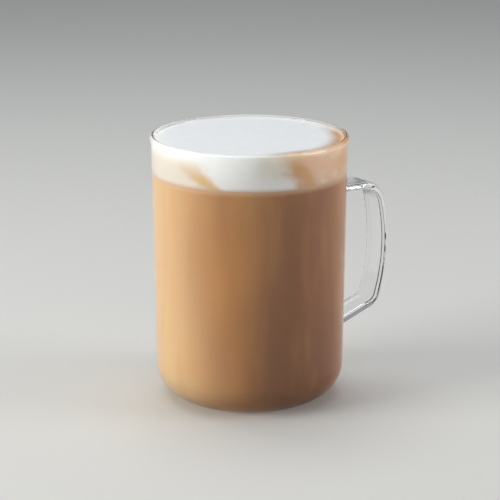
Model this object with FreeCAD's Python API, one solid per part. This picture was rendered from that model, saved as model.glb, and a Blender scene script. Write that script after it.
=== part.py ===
"""Vanilla latte in a clear glass mug.

A thin-walled, straight-sided mug with a rounded heel, a shallow punt under the base and a beaded rim
carries a flat strap handle that is blended into the wall. The mug is filled with latte, and a layer
of milk foam stands on it up to the brim.

The mug's axis is Z, it rests on Z = 0 and its handle points along +X. All sizes are in millimetres.
"""
import math
import os

import FreeCAD
import Part
from FreeCAD import Vector

# Mug body
MUG_HEIGHT = 110.0  # resting plane to the top of the rim
RIM_RADIUS = 40.5  # outside of the rim's bead
BEAD_LIP = 0.4  # how far the bead stands out from the wall
BEAD_FLARE = 4.0  # radius of the hollow curve that swells the wall into the bead
WALL = 2.0
WALL_TAPER = 0.58  # degrees that the wall leans out as it rises
HEEL_ROUND = 13.7  # outer radius of the curve from the wall into the base

# Base
BASE = 3.2  # resting plane to the floor inside
PUNT_RADIUS = 19.0  # hollow under the base, inside the ring that the mug rests on
PUNT_DEPTH = 0.9

# Handle: a flat strap with rounded edges, laid out along the middle of its thickness
STRAP_WIDTH = 12.4
STRAP_THICKNESS = 3.2
STRAP_SIDE = 0.5  # flat left on the strap's narrow sides, between its rounded edges
TOP_RUN_DROP = 27.6  # rim down to the level run that leaves the wall
TOP_CORNER_ROUND = 9.0
GRIP_REACH = 25.1  # how far the grip's bow stands out from the neck
GRIP_BOW = 78.0  # radius of the bow
GRIP_RAISE = 4.8  # widest place of the bow above the middle of the two roots
LOW_CORNER_ROUND = 6.5
LOW_RUN_RISE = 20.0  # degrees that the lower run climbs as it leaves the wall
LOW_ROOT_Z = 22.1  # where the lower run meets the wall
ROOT_SKIN = 0.8  # glass left between the end of the strap and the inside of the wall
ROOT_BLEND = 2.2  # fillet from the strap into the wall

# Drink
FOAM_EDGE_DROP = 1.5  # rim down to the foam's edge at the glass
FOAM_CROWN = 1.2  # rise of the foam's middle above its edge
FOAM_DEPTH = 13.3  # foam's edge down to the latte

LEAN = math.radians(WALL_TAPER)
OUTWARD = Vector(math.cos(LEAN), 0.0, -math.sin(LEAN))  # square to the wall
UPWARD = Vector(math.sin(LEAN), 0.0, math.cos(LEAN))  # along the wall
BEAD_RADIUS = (WALL + BEAD_LIP) / 2.0
BEAD_Z = MUG_HEIGHT - BEAD_RADIUS
NECK_RADIUS = RIM_RADIUS - BEAD_LIP  # outside of the wall at the height of the bead's middle
TOP_RUN_Z = MUG_HEIGHT - TOP_RUN_DROP
GRIP_Z = (TOP_RUN_Z + LOW_ROOT_Z) / 2.0 + GRIP_RAISE
FOAM_EDGE_Z = MUG_HEIGHT - FOAM_EDGE_DROP
LATTE_Z = FOAM_EDGE_Z - FOAM_DEPTH


def point(radius, z):
    """A point in the plane Y = 0, in which every profile and path lies."""
    return Vector(radius, 0.0, z)


def line(start, end):
    return Part.LineSegment(start, end).toShape()


def on_circle(centre, radius, angle):
    """The point of a circle at an angle in radians from +X towards +Z."""
    return centre + point(radius * math.cos(angle), radius * math.sin(angle))


def arc(centre, radius, first, last):
    """The arc of a circle between two angles."""
    angles = (first, (first + last) / 2.0, last)
    return Part.Arc(*[on_circle(centre, radius, angle) for angle in angles]).toShape()


def arc_between(centre, start, end):
    """The shorter arc about a centre from one of its points to another."""
    middle = (start - centre + end - centre).normalize()
    return Part.Arc(start, centre + middle * (start - centre).Length, end).toShape()


def revolve(edges):
    return Part.Face(Part.Wire(edges)).revolve(point(0.0, 0.0), Vector(0, 0, 1), 360.0)


def wall_radius(inset, z):
    """Radius at height z of the wall's outside, or of the surface that lies inset within it."""
    return NECK_RADIUS - inset / math.cos(LEAN) - (BEAD_Z - z) * math.tan(LEAN)


def heel(inset, floor_z):
    """Centre and radius of the curve that joins a floor to the wall's surface at an inset."""
    radius = HEEL_ROUND - inset
    centre_z = floor_z + radius
    return point(wall_radius(inset, centre_z) - radius / math.cos(LEAN), centre_z), radius


def punt_edge():
    """The arc of the hollow under the base, from its top out to the resting ring."""
    sphere = (PUNT_RADIUS ** 2 + PUNT_DEPTH ** 2) / (2.0 * PUNT_DEPTH)
    half = math.asin(PUNT_RADIUS / sphere)
    return arc(point(0.0, PUNT_DEPTH - sphere), sphere, math.pi / 2.0, math.pi / 2.0 - half)


def rim_edges():
    """The rim from the outer wall to the inner one: the hollow flare, then round over the bead."""
    bead = point(wall_radius(WALL, BEAD_Z) + BEAD_RADIUS / math.cos(LEAN), BEAD_Z)
    sunk = WALL - BEAD_RADIUS  # depth of the bead's middle inside the wall's outside
    below = math.sqrt((BEAD_FLARE + BEAD_RADIUS) ** 2 - (BEAD_FLARE + sunk) ** 2)
    flare = bead + OUTWARD * (BEAD_FLARE + sunk) - UPWARD * below
    meeting = math.atan2(flare.z - bead.z, flare.x - bead.x)
    return [arc(flare, BEAD_FLARE, math.pi - LEAN, math.pi + meeting),
            arc(bead, BEAD_RADIUS, meeting, math.pi - LEAN)]


def body():
    """The mug without its handle, turned from one profile."""
    outer, outer_round = heel(0.0, 0.0)
    inner, inner_round = heel(WALL, BASE)
    flare, bead = rim_edges()
    return revolve([
        punt_edge(),
        line(point(PUNT_RADIUS, 0.0), point(outer.x, 0.0)),
        arc(outer, outer_round, -math.pi / 2.0, -LEAN),
        line(on_circle(outer, outer_round, -LEAN), flare.firstVertex().Point),
        flare,
        bead,
        line(bead.lastVertex().Point, on_circle(inner, inner_round, -LEAN)),
        arc(inner, inner_round, -LEAN, -math.pi / 2.0),
        line(point(inner.x, BASE), point(0.0, BASE)),
        line(point(0.0, BASE), point(0.0, PUNT_DEPTH)),
    ])


def corner_centre(start, along, side, radius, bow_centre):
    """Centre of a handle corner, which touches the run from start and the inside of the grip's bow."""
    near = start + side * radius - bow_centre
    across = near.dot(along)
    spare = (GRIP_BOW - radius) ** 2 - near.dot(near)
    return bow_centre + near + along * (math.sqrt(across ** 2 + spare) - across)


def handle_path():
    """The strap's middle line, from its upper root to its lower one; the two runs end in the wall."""
    rise = math.radians(LOW_RUN_RISE)
    depth = WALL - ROOT_SKIN
    top_root = point(wall_radius(depth, TOP_RUN_Z), TOP_RUN_Z)
    low_root = point(wall_radius(depth, LOW_ROOT_Z), LOW_ROOT_Z)
    bow = point(NECK_RADIUS + GRIP_REACH - GRIP_BOW, GRIP_Z)
    top_side, low_side = point(0.0, -1.0), point(-math.sin(rise), math.cos(rise))
    top = corner_centre(top_root, point(1.0, 0.0), top_side, TOP_CORNER_ROUND, bow)
    low = corner_centre(low_root, point(math.cos(rise), math.sin(rise)), low_side,
                        LOW_CORNER_ROUND, bow)
    top_run_end = top - top_side * TOP_CORNER_ROUND
    low_run_end = low - low_side * LOW_CORNER_ROUND
    grip_top = bow + (top - bow).normalize() * GRIP_BOW
    grip_low = bow + (low - bow).normalize() * GRIP_BOW
    return Part.Wire([
        line(top_root, top_run_end),
        arc_between(top, top_run_end, grip_top),
        arc_between(bow, grip_top, grip_low),
        arc_between(low, grip_low, low_run_end),
        line(low_run_end, low_root),
    ])


def strap_section(centre):
    """The strap's outline, a rectangle with rounded corners that stands across +X."""
    round_off = (STRAP_THICKNESS - STRAP_SIDE) / 2.0
    blank = Part.makeBox(1.0, STRAP_WIDTH, STRAP_THICKNESS,
                         centre - Vector(0.0, STRAP_WIDTH / 2.0, STRAP_THICKNESS / 2.0))
    long_edges = [edge for edge in blank.Edges if abs(edge.tangentAt(0.0).x) > 0.5]
    rounded = blank.makeFillet(round_off, long_edges)
    start = min(rounded.Faces, key=lambda face: face.CenterOfMass.x)
    return start.OuterWire


def beside_handle_on_wall(edge):
    """Is the edge one of those in which the strap meets the outside of the wall?"""
    if edge.Degenerated:
        return False
    spots = edge.discretize(5)
    return all(
        spot.x > 0.0 and abs(spot.y) < STRAP_WIDTH
        and abs(math.hypot(spot.x, spot.y) - wall_radius(0.0, spot.z)) < 0.01
        for spot in spots)


def glass_mug():
    """The body and the strap in one piece, with a fillet all round each of the strap's two roots."""
    path = handle_path()
    strap = path.makePipeShell([strap_section(path.OrderedVertexes[0].Point)], True, False)
    whole = body().fuse(strap).removeSplitter()
    roots = [edge for edge in whole.Edges if beside_handle_on_wall(edge)]
    return whole.makeFillet(ROOT_BLEND, roots)


def latte():
    """Fills the mug from its floor to the foam."""
    inner, inner_round = heel(WALL, BASE)
    edge = point(wall_radius(WALL, LATTE_Z), LATTE_Z)
    return revolve([
        line(point(0.0, BASE), point(inner.x, BASE)),
        arc(inner, inner_round, -math.pi / 2.0, -LEAN),
        line(on_circle(inner, inner_round, -LEAN), edge),
        line(edge, point(0.0, LATTE_Z)),
        line(point(0.0, LATTE_Z), point(0.0, BASE)),
    ])


def foam():
    """A layer right across the mug, with a gently crowned top."""
    low_edge = point(wall_radius(WALL, LATTE_Z), LATTE_Z)
    top_edge = point(wall_radius(WALL, FOAM_EDGE_Z), FOAM_EDGE_Z)
    sphere = (top_edge.x ** 2 + FOAM_CROWN ** 2) / (2.0 * FOAM_CROWN)
    centre = point(0.0, FOAM_EDGE_Z + FOAM_CROWN - sphere)
    return revolve([
        line(point(0.0, LATTE_Z), low_edge),
        line(low_edge, top_edge),
        arc(centre, sphere, math.acos(top_edge.x / sphere), math.pi / 2.0),
        line(point(0.0, FOAM_EDGE_Z + FOAM_CROWN), point(0.0, LATTE_Z)),
    ])


def only_solid(shape):
    if len(shape.Solids) != 1 or not shape.Solids[0].isValid():
        raise ValueError("expected one valid solid")
    return shape.Solids[0]


def main():
    os.makedirs("parts", exist_ok=True)
    for name, make in (("glass_mug", glass_mug), ("latte", latte), ("foam", foam)):
        piece = only_solid(make())
        piece.exportStep(f"parts/{name}.step")
        print(f"{name}: {piece.Volume / 1000.0:.1f} cm3, {len(piece.Faces)} faces")


main()
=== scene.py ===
"""Looks of the vanilla latte: a clear glass mug, the latte in it and the milk foam on top.

Lengths are in millimetres until a mesh is made; the frame itself is in metres. Angles in the meshes are
in radians from the handle, anticlockwise seen from above. Those in the materials are in degrees from the
side turned to the camera, positive to its right.
"""

import math

import bmesh
import bpy
import numpy as np
from mathutils import Matrix, Vector, noise

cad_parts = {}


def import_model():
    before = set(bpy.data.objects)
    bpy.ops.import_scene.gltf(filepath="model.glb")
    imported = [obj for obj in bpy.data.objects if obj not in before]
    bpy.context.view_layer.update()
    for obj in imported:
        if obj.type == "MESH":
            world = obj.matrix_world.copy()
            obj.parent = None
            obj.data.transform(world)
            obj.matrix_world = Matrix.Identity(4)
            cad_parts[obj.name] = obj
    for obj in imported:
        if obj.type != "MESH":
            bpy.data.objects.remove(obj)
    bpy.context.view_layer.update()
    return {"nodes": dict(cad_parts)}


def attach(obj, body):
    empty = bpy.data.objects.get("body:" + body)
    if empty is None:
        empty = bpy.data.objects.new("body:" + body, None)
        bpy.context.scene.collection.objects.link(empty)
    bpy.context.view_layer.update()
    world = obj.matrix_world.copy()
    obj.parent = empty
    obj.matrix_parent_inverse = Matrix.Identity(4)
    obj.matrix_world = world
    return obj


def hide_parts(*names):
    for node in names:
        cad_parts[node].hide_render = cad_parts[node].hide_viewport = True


MM = 0.001

# Drink
INTO_GLASS = 0.25  # how far the drink reaches into the wall, so that no air gap shows
AROUND = 384  # divisions round the mug
CRISP_EDGE = 50.0  # degrees; the drink's edges that turn more than this stay sharp
BOUNDARY_WAVE = 0.35  # unevenness of the line between the foam and the latte
BOUNDARY_TILT = 0.45  # how much higher that line stands on the camera's right than at its middle
FOAM_SWELL = 0.14  # gentle unevenness of the foam's top
FOAM_GRAIN = 0.045  # fine unevenness of its bubbles
RELIEF_FADE = 5.0  # width along the glass where that unevenness dies away
FILM_RISE = 0.85  # how far a film of foam climbs the glass at the back, above the foam's edge
FILM_FRONT = 0.12  # the same at the front
FILM_WAVE = 0.08  # unevenness of the film's edge
FILM_REACH = 0.7  # how far in from the glass the film's slope reaches
BUBBLES = 170
BUBBLE_CLUSTERS = 9
LOOSE_BUBBLES = 0.25  # share of the bubbles that are spread over the foam, away from the clusters
BUBBLE_SIZES = (0.12, 0.09, 0.38)  # radius: smallest, mean excess over it, largest

# Glass
WELD = 0.002  # corners of the glass closer than this are one

# Camera, at the mug's middle
VIEW_AZIMUTH = -32.1
VIEW_ELEVATION = 16.1
VIEW_DISTANCE = 718.5
AIM_HEIGHT = 61.0
AIM_RIGHT = 0.25
LENS = 125.1

# Studio: the lamps' places are right, towards the camera and up, in metres from the mug
FLOOR_REACH = 3.0  # metres
WORLD_COLOUR = (0.80, 0.84, 0.88, 1.0)
WORLD_STRENGTH = 0.33
LAMPS = (
    # name, place, size in metres, watts, colour
    ("key", (-0.84, 0.30, 0.42), (0.5, 0.7), 6.0, (1.0, 0.975, 0.94)),
    ("top", (-0.1, -0.2, 1.0), (0.6, 0.6), 3.7, (0.93, 0.97, 1.0)),
    ("fill", (0.9, 0.12, 0.34), (0.45, 0.6), 3.4, (1.0, 0.98, 0.96)),
)
LAMP_AIM = (0.0, 0.0, 0.06)  # metres


def wall_of_drink(frame):
    """The sizes of the glass's inside, read from the solids of the latte and the foam."""
    points = {}
    for node in ("latte", "foam"):
        mesh = frame["nodes"][node].data
        found = np.array([v.co for v in mesh.vertices]) / MM
        points[node] = np.column_stack([np.hypot(found[:, 0], found[:, 1]), found[:, 2]])
    latte, foam = points["latte"], points["foam"]
    floor_z, line_z = latte[:, 1].min(), latte[:, 1].max()
    line_radius = latte[latte[:, 1] > line_z - 0.01, 0].max()
    brim_radius = foam[:, 0].max()
    brim_z = foam[foam[:, 0] > brim_radius - 0.001, 1].max()
    slope = (brim_radius - line_radius) / (brim_z - line_z)
    floor_radius = latte[latte[:, 1] < floor_z + 0.01, 0].max()
    across = math.cos(math.atan(slope))
    heel = (line_radius - slope * (line_z - floor_z) - floor_radius) / (1.0 / across - slope)
    return {
        "floor_z": floor_z, "floor_radius": floor_radius, "heel": heel, "lean": math.atan(slope),
        "line_z": line_z, "line_radius": line_radius, "slope": slope, "brim_z": brim_z,
        "top_z": foam[:, 1].max(),
    }


def inside_radius(wall, z):
    return wall["line_radius"] + wall["slope"] * (z - wall["line_z"])


def waves(angles, seed, harmonics, falloff=1.0):
    """A smooth closed curve of unit size round the mug, with seeded harmonics."""
    rng = np.random.default_rng(seed)
    total = np.zeros_like(angles)
    for n in harmonics:
        total += rng.normal() * np.cos(n * angles + rng.uniform(0, 2 * np.pi)) / n ** falloff
    return total / np.abs(total).max()


def boundary(wall, angles):
    """Height of the line between the latte and the foam round the mug."""
    tilt = BOUNDARY_TILT * np.cos(angles - math.radians(VIEW_AZIMUTH))
    return wall["line_z"] + BOUNDARY_WAVE * waves(angles, 4, (2, 3, 5, 7, 11), 0.8) + tilt


def lathe(name, rows):
    """A closed mesh from rows of (radius, height) that share their angles; the ends close on the axis."""
    angles = np.linspace(0, 2 * np.pi, AROUND, endpoint=False)
    co = [(0.0, 0.0, float(np.mean(rows[0][1])))]
    for radius, height in rows:
        radius, height = np.broadcast_to(radius, AROUND), np.broadcast_to(height, AROUND)
        co += list(zip(radius * np.cos(angles), radius * np.sin(angles), height))
    co.append((0.0, 0.0, float(np.mean(rows[-1][1]))))
    faces = []
    for i in range(AROUND):
        j = (i + 1) % AROUND
        faces.append((0, 1 + j, 1 + i))
        for row in range(len(rows) - 1):
            a, b = 1 + row * AROUND, 1 + (row + 1) * AROUND
            faces.append((a + i, a + j, b + j, b + i))
        last = 1 + (len(rows) - 1) * AROUND
        faces.append((last + i, last + j, len(co) - 1))
    mesh = bpy.data.meshes.new(name)
    mesh.from_pydata([tuple(np.array(c) * MM) for c in co], [], faces)
    mesh.update()
    mesh.shade_smooth()
    mesh.set_sharp_from_angle(angle=math.radians(CRISP_EDGE))
    piece = bpy.data.objects.new(name, mesh)
    bpy.context.collection.objects.link(piece)
    return piece


def make_latte(wall):
    """The latte from the floor up to the foam, reaching into the glass all over."""
    angles = np.linspace(0, 2 * np.pi, AROUND, endpoint=False)
    floor = wall["floor_z"] - INTO_GLASS
    rows = [(r, floor) for r in np.linspace(2.0, wall["floor_radius"], 6)]
    round_off = wall["heel"] + INTO_GLASS
    for turn in np.linspace(0, math.pi / 2 - wall["lean"], 14)[1:]:
        rows.append((wall["floor_radius"] + round_off * math.sin(turn),
                     wall["floor_z"] + wall["heel"] - round_off * math.cos(turn)))
    low = rows[-1][1]
    line = boundary(wall, angles)
    for share in np.linspace(0, 1, 40)[1:]:
        z = low + (line - low) * share
        rows.append((inside_radius(wall, z) + INTO_GLASS, z))
    rows += [((inside_radius(wall, line) + INTO_GLASS) * share, line) for share in (0.9, 0.6, 0.3, 0.05)]
    return lathe("latte_fill", rows)


def make_foam(wall):
    """The foam layer with its uneven lower edge, crowned top and the thin film where it wets the glass."""
    angles = np.linspace(0, 2 * np.pi, AROUND, endpoint=False)
    line = boundary(wall, angles)
    radius = inside_radius(wall, line) + INTO_GLASS
    rows = [(radius * share, line) for share in (0.05, 0.3, 0.6, 0.9, 1.0)]
    behind = 0.5 - 0.5 * np.cos(angles - math.radians(VIEW_AZIMUTH - 90.0))
    film = wall["brim_z"] + FILM_FRONT + (FILM_RISE - FILM_FRONT) * behind ** 2
    film += FILM_WAVE * waves(angles, 9, (2, 4, 6, 9, 14), 0.5)
    for share in np.linspace(0, 1, 14)[1:]:
        z = line + (film - line) * share
        rows.append((inside_radius(wall, z) + INTO_GLASS, z))
    edge = inside_radius(wall, wall["brim_z"])
    for r in np.concatenate([np.linspace(edge, edge - 3, 20), np.linspace(edge - 3, 0.6, 80)[1:]]):
        inward = edge - r
        climb = (film - wall["brim_z"]) * math.exp(-inward / FILM_REACH)
        fade = min(1.0, inward / RELIEF_FADE)
        relief = np.array([
            FOAM_SWELL * noise.noise((x / 9.0, y / 9.0, 3.0))
            + FOAM_GRAIN * noise.noise((x / 1.1, y / 1.1, 7.0))
            for x, y in zip(r * np.cos(angles), r * np.sin(angles))])
        rows.append((r, foam_level(wall, r) + climb + fade * relief))
    return lathe("foam_top", rows)


def foam_level(wall, radius):
    """Height of the foam's crowned top at a radius, without its relief."""
    edge = inside_radius(wall, wall["brim_z"])
    return wall["brim_z"] + (wall["top_z"] - wall["brim_z"]) * (1 - (radius / edge) ** 2)


def make_bubbles(wall):
    """Small bubbles that stand half out of the foam, most of them in clusters along the glass."""
    rng = np.random.default_rng(21)
    edge = inside_radius(wall, wall["brim_z"])
    smallest, excess, largest = BUBBLE_SIZES
    work = bmesh.new()
    for _ in range(BUBBLES):
        cluster = rng.integers(BUBBLE_CLUSTERS) * 2 * np.pi / BUBBLE_CLUSTERS + rng.normal(0.0, 0.16)
        loose = rng.random() < LOOSE_BUBBLES
        angle = rng.uniform(0, 2 * np.pi) if loose else cluster
        radius = edge * math.sqrt(rng.random()) * 0.97 if loose else edge - 0.5 - rng.exponential(0.9)
        size = min(largest, smallest + rng.exponential(excess))
        place = Vector((radius * math.cos(angle), radius * math.sin(angle), foam_level(wall, radius)))
        squat = Matrix.Diagonal((size, size, 0.6 * size, 1.0))
        bmesh.ops.create_icosphere(work, subdivisions=2, radius=1.0, matrix=Matrix.Translation(place) @ squat)
    bmesh.ops.scale(work, vec=(MM, MM, MM), verts=work.verts)
    mesh = bpy.data.meshes.new("foam_bubbles")
    work.to_mesh(mesh)
    work.free()
    mesh.shade_smooth()
    piece = bpy.data.objects.new("foam_bubbles", mesh)
    bpy.context.collection.objects.link(piece)
    return piece


def make_glass(frame):
    """The mug's own surface from the frame, welded into one smooth skin."""
    mesh = frame["nodes"]["glass_mug"].data.copy()
    mesh.materials.clear()
    work = bmesh.new()
    work.from_mesh(mesh)
    bmesh.ops.remove_doubles(work, verts=work.verts, dist=WELD * MM)
    for face in work.faces:
        face.smooth = True
    work.to_mesh(mesh)
    work.free()
    if "custom_normal" in mesh.attributes:
        mesh.attributes.remove(mesh.attributes["custom_normal"])
    piece = bpy.data.objects.new("mug_glass", mesh)
    bpy.context.collection.objects.link(piece)
    return piece


class Nodes:
    """A small helper that adds and links the nodes of one material."""

    def __init__(self, name):
        self.material = bpy.data.materials.new(name)
        self.material.use_nodes = True
        self.tree = self.material.node_tree
        self.tree.nodes.clear()

    def add(self, kind, values=None, **settings):
        node = self.tree.nodes.new(kind)
        for key, value in settings.items():
            setattr(node, key, value)
        for key, value in (values or {}).items():
            if isinstance(value, bpy.types.NodeSocket):
                self.tree.links.new(value, node.inputs[key])
            else:
                node.inputs[key].default_value = value
        return node

    def math(self, operation, a, b=0.0):
        return self.add("ShaderNodeMath", {0: a, 1: b}, operation=operation).outputs[0]

    def product(self, first, *others):
        for value in others:
            first = self.math("MULTIPLY", first, value)
        return first

    def ramp(self, value, low, high, to_low=0.0, to_high=1.0):
        """A smooth step of value from low to high."""
        node = self.add("ShaderNodeMapRange", {
            "Value": value, "From Min": low, "From Max": high, "To Min": to_low, "To Max": to_high},
            interpolation_type="SMOOTHSTEP")
        return node.outputs["Result"]

    def mix(self, factor, a, b):
        node = self.add("ShaderNodeMix", data_type="RGBA")
        for index, value in ((0, factor), (6, a), (7, b)):
            if isinstance(value, bpy.types.NodeSocket):
                self.tree.links.new(value, node.inputs[index])
            else:
                node.inputs[index].default_value = value
        return node.outputs[2]

    def noise(self, vector, scale, detail=3.0, roughness=0.5):
        node = self.add("ShaderNodeTexNoise", {
            "Vector": vector, "Scale": scale, "Detail": detail, "Roughness": roughness})
        return node.outputs["Fac"]

    def stretched(self, scale):
        """Object coordinates in millimetres, multiplied by scale on each axis."""
        place = self.add("ShaderNodeTexCoord").outputs["Object"]
        node = self.add("ShaderNodeVectorMath", {0: place, 1: tuple(s / MM for s in scale)},
                        operation="MULTIPLY")
        return node.outputs[0]

    def output(self, shader):
        self.add("ShaderNodeOutputMaterial", {"Surface": shader})
        return self.material


def srgb(red, green, blue):
    """A linear colour from screen values of 0 to 255."""
    def linear(value):
        value /= 255.0
        return value / 12.92 if value <= 0.04045 else ((value + 0.055) / 1.055) ** 2.4
    return (linear(red), linear(green), linear(blue), 1.0)


def around(nodes):
    """Degrees round the mug from the side turned to the camera, positive to its right."""
    turn = math.radians(VIEW_AZIMUTH - 90.0)
    place = nodes.add("ShaderNodeSeparateXYZ", {0: nodes.stretched((1, 1, 1))}).outputs
    ahead = nodes.math("ADD", nodes.product(place[0], math.cos(turn)),
                       nodes.product(place[1], math.sin(turn)))
    aside = nodes.math("ADD", nodes.product(place[0], -math.sin(turn)),
                       nodes.product(place[1], math.cos(turn)))
    return nodes.product(nodes.math("ARCTAN2", aside, ahead), 180.0 / math.pi)


def from_axis(nodes):
    place = nodes.add("ShaderNodeVectorMath", {0: nodes.stretched((1, 1, 0))}, operation="LENGTH")
    return place.outputs["Value"]


def band(nodes, value, low, high, soft):
    """One between low and high, falling to nought over soft on each side."""
    return nodes.product(nodes.ramp(value, low - soft, low), nodes.ramp(value, high + soft, high))


def overlay_stains_and_painted_light(nodes, colour, stain_and_painted_light_marks, where=1.0):
    """The colour with each mark of (mask, strength, tone) laid over it in turn; the marks are stains and also
    painted light and shade.
    """
    for mask, strength, tone in stain_and_painted_light_marks:
        colour = nodes.mix(nodes.product(mask, where, strength), colour, tone)
    return colour


def height(nodes):
    return nodes.add("ShaderNodeSeparateXYZ", {0: nodes.stretched((1, 1, 1))}).outputs[2]


def glass_material():
    """Clear glass with faint waviness; shadow rays pass, so that the lamps reach the drink."""
    nodes = Nodes("clear_glass")
    wave = nodes.noise(nodes.stretched((0.03, 0.03, 0.008)), 1.0, 1.0)
    bump = nodes.add("ShaderNodeBump", {"Strength": 0.05, "Distance": 0.4 * MM, "Height": wave})
    shader = nodes.add("ShaderNodeBsdfPrincipled", {
        "Base Color": (1.0, 1.0, 1.0, 1.0), "Roughness": 0.0, "IOR": 1.47,
        "Transmission Weight": 1.0, "Normal": bump.outputs[0]})
    through = nodes.add("ShaderNodeBsdfTransparent", {"Color": (0.97, 0.98, 0.975, 1.0)})
    path = nodes.add("ShaderNodeLightPath")
    mixed = nodes.add("ShaderNodeMixShader", {
        0: path.outputs["Is Shadow Ray"], 1: shader.outputs[0], 2: through.outputs[0]})
    return nodes.output(mixed.outputs[0])


def latte_material(wall):
    """Milky coffee: warm brown, clouded with slow vertical drifts of milk, lighter under the foam; painted
    light makes it paler on the left, towards the key lamp, and painted shade darkens its right side and lower
    right.
    """
    nodes = Nodes("milky_coffee")
    turn = around(nodes)
    level = height(nodes)
    drift = nodes.noise(nodes.stretched((0.05, 0.05, 0.012)), 1.0, 3.0, 0.55)
    cloud = nodes.noise(nodes.stretched((0.13, 0.13, 0.028)), 1.0, 3.0)
    colour = nodes.mix(nodes.ramp(drift, 0.26, 0.76), srgb(162, 113, 73), srgb(190, 142, 87))

    right = nodes.product(nodes.ramp(turn, -46.0, 42.0), nodes.ramp(turn, 176.0, 96.0))
    # painted shade: the latte darker towards the bottom on the camera's right side, away from the key lamp
    low_right_painted_shade = nodes.product(nodes.ramp(level, 66.0, 4.0), right)
    # painted shade: a darker, richer brown over the camera's right side, away from the key lamp
    right_side_painted_shade = band(nodes, turn, 50.0, 110.0, 40.0)
    # painted shade: a darker band just right of the middle, where the lamps reach least
    painted_dark_band = nodes.product(band(nodes, turn, 32.0, 46.0, 28.0), nodes.ramp(level, 90.0, 10.0, 0.7, 1.0))
    golden = nodes.product(band(nodes, turn, -22.0, -12.0, 26.0), band(nodes, level, 18.0, 66.0, 24.0))
    # painted light: a paler band on the left side, towards the key lamp, slanting with height
    lean = nodes.math("ADD", turn, nodes.ramp(level, wall["line_z"], wall["floor_z"], 0.0, -14.0))
    key_side_painted_light = band(nodes, lean, -100.0, -72.0, 62.0)
    clouded = nodes.ramp(cloud, 0.46, 0.74)
    under_foam = nodes.ramp(level, wall["line_z"] - 2.6, wall["line_z"] + 0.6)
    colour = overlay_stains_and_painted_light(nodes, colour, (
        (low_right_painted_shade, 0.5, srgb(118, 67, 30)),
        (right_side_painted_shade, 0.4, srgb(154, 86, 38)),
        (painted_dark_band, 0.6, srgb(108, 60, 26)),
        (golden, 0.3, srgb(196, 132, 60)),
        (key_side_painted_light, 0.75, srgb(230, 200, 153)),
        (clouded, 0.22, srgb(206, 150, 88)),
        (under_foam, 0.75, srgb(222, 188, 156)),
    ))
    shader = nodes.add("ShaderNodeBsdfPrincipled", {
        "Base Color": colour, "Roughness": 0.5, "IOR": 1.35, "Subsurface Weight": 0.5,
        "Subsurface Radius": (1.0, 0.5, 0.25), "Subsurface Scale": 3.0 * MM})
    return nodes.output(shader.outputs[0])


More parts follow.
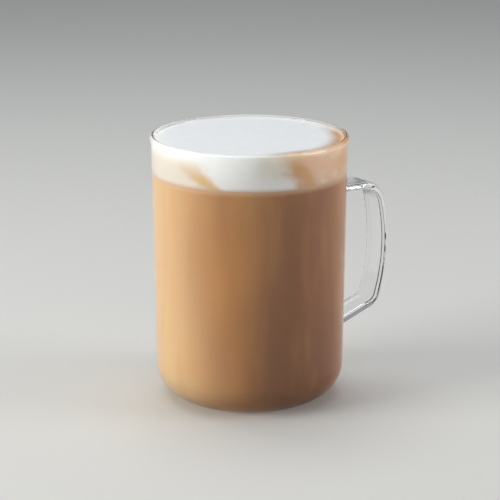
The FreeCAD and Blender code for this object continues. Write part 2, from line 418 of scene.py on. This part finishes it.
def foam_material(wall):
    """Milk foam: fine, matte and off-white, stained by the coffee that was poured through it, with painted
    shade in a band on its side right of the middle and a painted shadow of the rim on its top.
    """
    nodes = Nodes("milk_foam")
    level = height(nodes)
    depth = nodes.math("SUBTRACT", wall["brim_z"], level)
    ragged = nodes.noise(nodes.stretched((0.12, 0.12, 0.16)), 1.0, 2.0, 0.5)
    shift = nodes.product(nodes.math("SUBTRACT", ragged, 0.5), 20.0)
    turn = nodes.math("ADD", around(nodes), shift)
    fine = nodes.noise(nodes.stretched((0.35, 0.35, 0.35)), 1.0, 3.0, 0.6)
    colour = nodes.mix(nodes.product(fine, 0.5), srgb(240, 242, 243), srgb(230, 231, 231))

    # On the side, seen through the glass
    inward = nodes.math("SUBTRACT", inside_radius(wall, wall["brim_z"]), from_axis(nodes))
    side = nodes.ramp(inward, 1.6, 0.5)
    cream = nodes.product(band(nodes, turn, -140.0, -42.0, 26.0), nodes.ramp(depth, -0.5, 6.0))
    streak = band(nodes, nodes.math("ADD", turn, nodes.product(depth, -1.5)), -45.0, -42.0, 9.0)
    streak = nodes.product(streak, nodes.ramp(depth, 2.0, 10.0))
    # painted shade: a greyish band on the foam's side, right of the middle, where the lamps reach less
    foam_painted_shade = nodes.product(band(nodes, turn, 20.0, 28.0, 30.0), nodes.ramp(depth, 13.0, 5.0))
    slant = nodes.math("SUBTRACT", turn, depth)
    tan = nodes.product(nodes.ramp(slant, 10.0, 28.0), nodes.ramp(turn, 158.0, 92.0),
                        nodes.ramp(ragged, 0.25, 0.55, 0.7, 1.0))
    core = nodes.product(band(nodes, slant, 22.0, 24.0, 11.0), nodes.ramp(depth, -1.0, 5.0))
    edge = nodes.product(band(nodes, turn, 72.0, 96.0, 20.0), nodes.ramp(depth, 14.0, 8.0))
    colour = overlay_stains_and_painted_light(nodes, colour, (
        (cream, 0.9, srgb(218, 210, 197)),
        (streak, 0.85, srgb(214, 178, 120)),
        (foam_painted_shade, 0.5, srgb(192, 180, 146)),
        (tan, 0.92, srgb(216, 180, 148)),
        (core, 0.75, srgb(202, 152, 94)),
        (edge, 0.5, srgb(208, 156, 96)),
    ), side)

    # On the top, along the glass
    top = nodes.ramp(inward, 0.4, 1.4)
    inward = nodes.math("ADD", inward, nodes.product(shift, 0.1))
    strip = nodes.product(band(nodes, turn, 50.0, 96.0, 28.0), nodes.ramp(inward, 7.5, 0.5))
    # painted shadow of the glass rim: a darker brown band along the glass on the top, right of the middle
    painted_rim_shadow = nodes.product(band(nodes, turn, 22.0, 36.0, 14.0), nodes.ramp(inward, 9.0, 2.5))
    colour = overlay_stains_and_painted_light(nodes, colour, (
        (strip, 0.95, srgb(197, 144, 86)),
        (painted_rim_shadow, 0.7, srgb(172, 116, 74)),
    ), top)

    # Where the foam meets the latte
    soft_edge = nodes.ramp(level, wall["line_z"] + 1.8, wall["line_z"] - 0.4)
    colour = overlay_stains_and_painted_light(nodes, colour, ((soft_edge, 0.7, srgb(214, 180, 152)),), side)
    cells = nodes.add("ShaderNodeTexVoronoi", {
        "Vector": nodes.stretched((1, 1, 1)), "Scale": 2.2, "Randomness": 1.0})
    bubbles = nodes.ramp(cells.outputs["Distance"], 0.0, 0.5)
    rough = nodes.math("ADD", nodes.product(bubbles, 0.4), fine)
    bump = nodes.add("ShaderNodeBump", {"Strength": 0.25, "Distance": 0.12 * MM, "Height": rough})
    shader = nodes.add("ShaderNodeBsdfPrincipled", {
        "Base Color": colour, "Roughness": 0.6, "IOR": 1.33, "Subsurface Weight": 0.6,
        "Subsurface Radius": (1.0, 0.9, 0.75), "Subsurface Scale": 4.0 * MM, "Normal": bump.outputs[0]})
    return nodes.output(shader.outputs[0])


def bubble_material():
    """Thin wet skins of milk: white, smooth and a little see-through."""
    nodes = Nodes("foam_bubble")
    patch = nodes.noise(nodes.stretched((0.5, 0.5, 0.5)), 1.0)
    tint = nodes.mix(patch, srgb(238, 239, 238), srgb(226, 222, 214))
    shader = nodes.add("ShaderNodeBsdfPrincipled", {
        "Base Color": tint, "Roughness": 0.12, "IOR": 1.33, "Subsurface Weight": 0.5,
        "Subsurface Radius": (1.0, 0.9, 0.75), "Subsurface Scale": 1.0 * MM})
    return nodes.output(shader.outputs[0])


def plain(name, colour, roughness):
    nodes = Nodes(name)
    shader = nodes.add("ShaderNodeBsdfPrincipled", {"Base Color": colour, "Roughness": roughness})
    return nodes.output(shader.outputs[0])


def seen_from_camera(right, back, up):
    """A place given as right, towards the camera and up from the mug, for the camera at rest."""
    turn = math.radians(VIEW_AZIMUTH)
    return Vector((right * math.cos(turn) + back * math.sin(turn),
                   right * math.sin(turn) - back * math.cos(turn), up))


def add_lamp(name, place, size, watts, colour):
    data = bpy.data.lights.new(name, "AREA")
    data.shape = "RECTANGLE"
    data.size, data.size_y = size
    data.energy = watts
    data.color = colour
    lamp = bpy.data.objects.new(name, data)
    lamp.location = place
    lamp.rotation_euler = (Vector(LAMP_AIM) - place).to_track_quat("-Z", "Y").to_euler()
    bpy.context.collection.objects.link(lamp)


def add_camera():
    data = bpy.data.cameras.new("camera")
    data.lens = LENS
    camera = bpy.data.objects.new("camera", data)
    tilt = math.radians(VIEW_ELEVATION)
    reach = VIEW_DISTANCE * MM
    aim = seen_from_camera(AIM_RIGHT * MM, 0.0, AIM_HEIGHT * MM)
    offset = seen_from_camera(0.0, reach * math.cos(tilt), reach * math.sin(tilt))
    camera.location = aim + offset
    camera.rotation_euler = (-offset).to_track_quat("-Z", "Y").to_euler()
    bpy.context.collection.objects.link(camera)
    bpy.context.scene.camera = camera


def add_stage():
    mesh = bpy.data.meshes.new("floor")
    corners = [(FLOOR_REACH * x, FLOOR_REACH * y, 0) for x, y in ((-1, -1), (1, -1), (1, 1), (-1, 1))]
    mesh.from_pydata(corners, [], [(0, 1, 2, 3)])
    floor = bpy.data.objects.new("floor", mesh)
    floor.data.materials.append(plain("pale_floor", srgb(222, 221, 217), 0.8))
    bpy.context.collection.objects.link(floor)


def add_light():
    world = bpy.data.worlds.new("studio")
    world.use_nodes = True
    background = world.node_tree.nodes["Background"]
    background.inputs["Color"].default_value = WORLD_COLOUR
    background.inputs["Strength"].default_value = WORLD_STRENGTH
    bpy.context.scene.world = world
    for name, place, size, watts, colour in LAMPS:
        add_lamp(name, seen_from_camera(*place), size, watts, colour)


def main():
    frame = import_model()
    wall = wall_of_drink(frame)
    pieces = [
        (make_glass(frame), "glass_mug", "clear_glass", glass_material()),
        (make_latte(wall), "latte", "milky_coffee", latte_material(wall)),
        (make_foam(wall), "foam", "milk_foam", foam_material(wall)),
    ]
    for piece, node, slot, material in pieces:
        piece.data.materials.append(material)
        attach(piece, "root")
        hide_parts(node)
    bubbles = make_bubbles(wall)
    bubbles.data.materials.append(bubble_material())
    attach(bubbles, "root")
    add_stage()
    add_light()
    add_camera()
    bpy.context.scene.view_settings.view_transform = "Standard"


main()
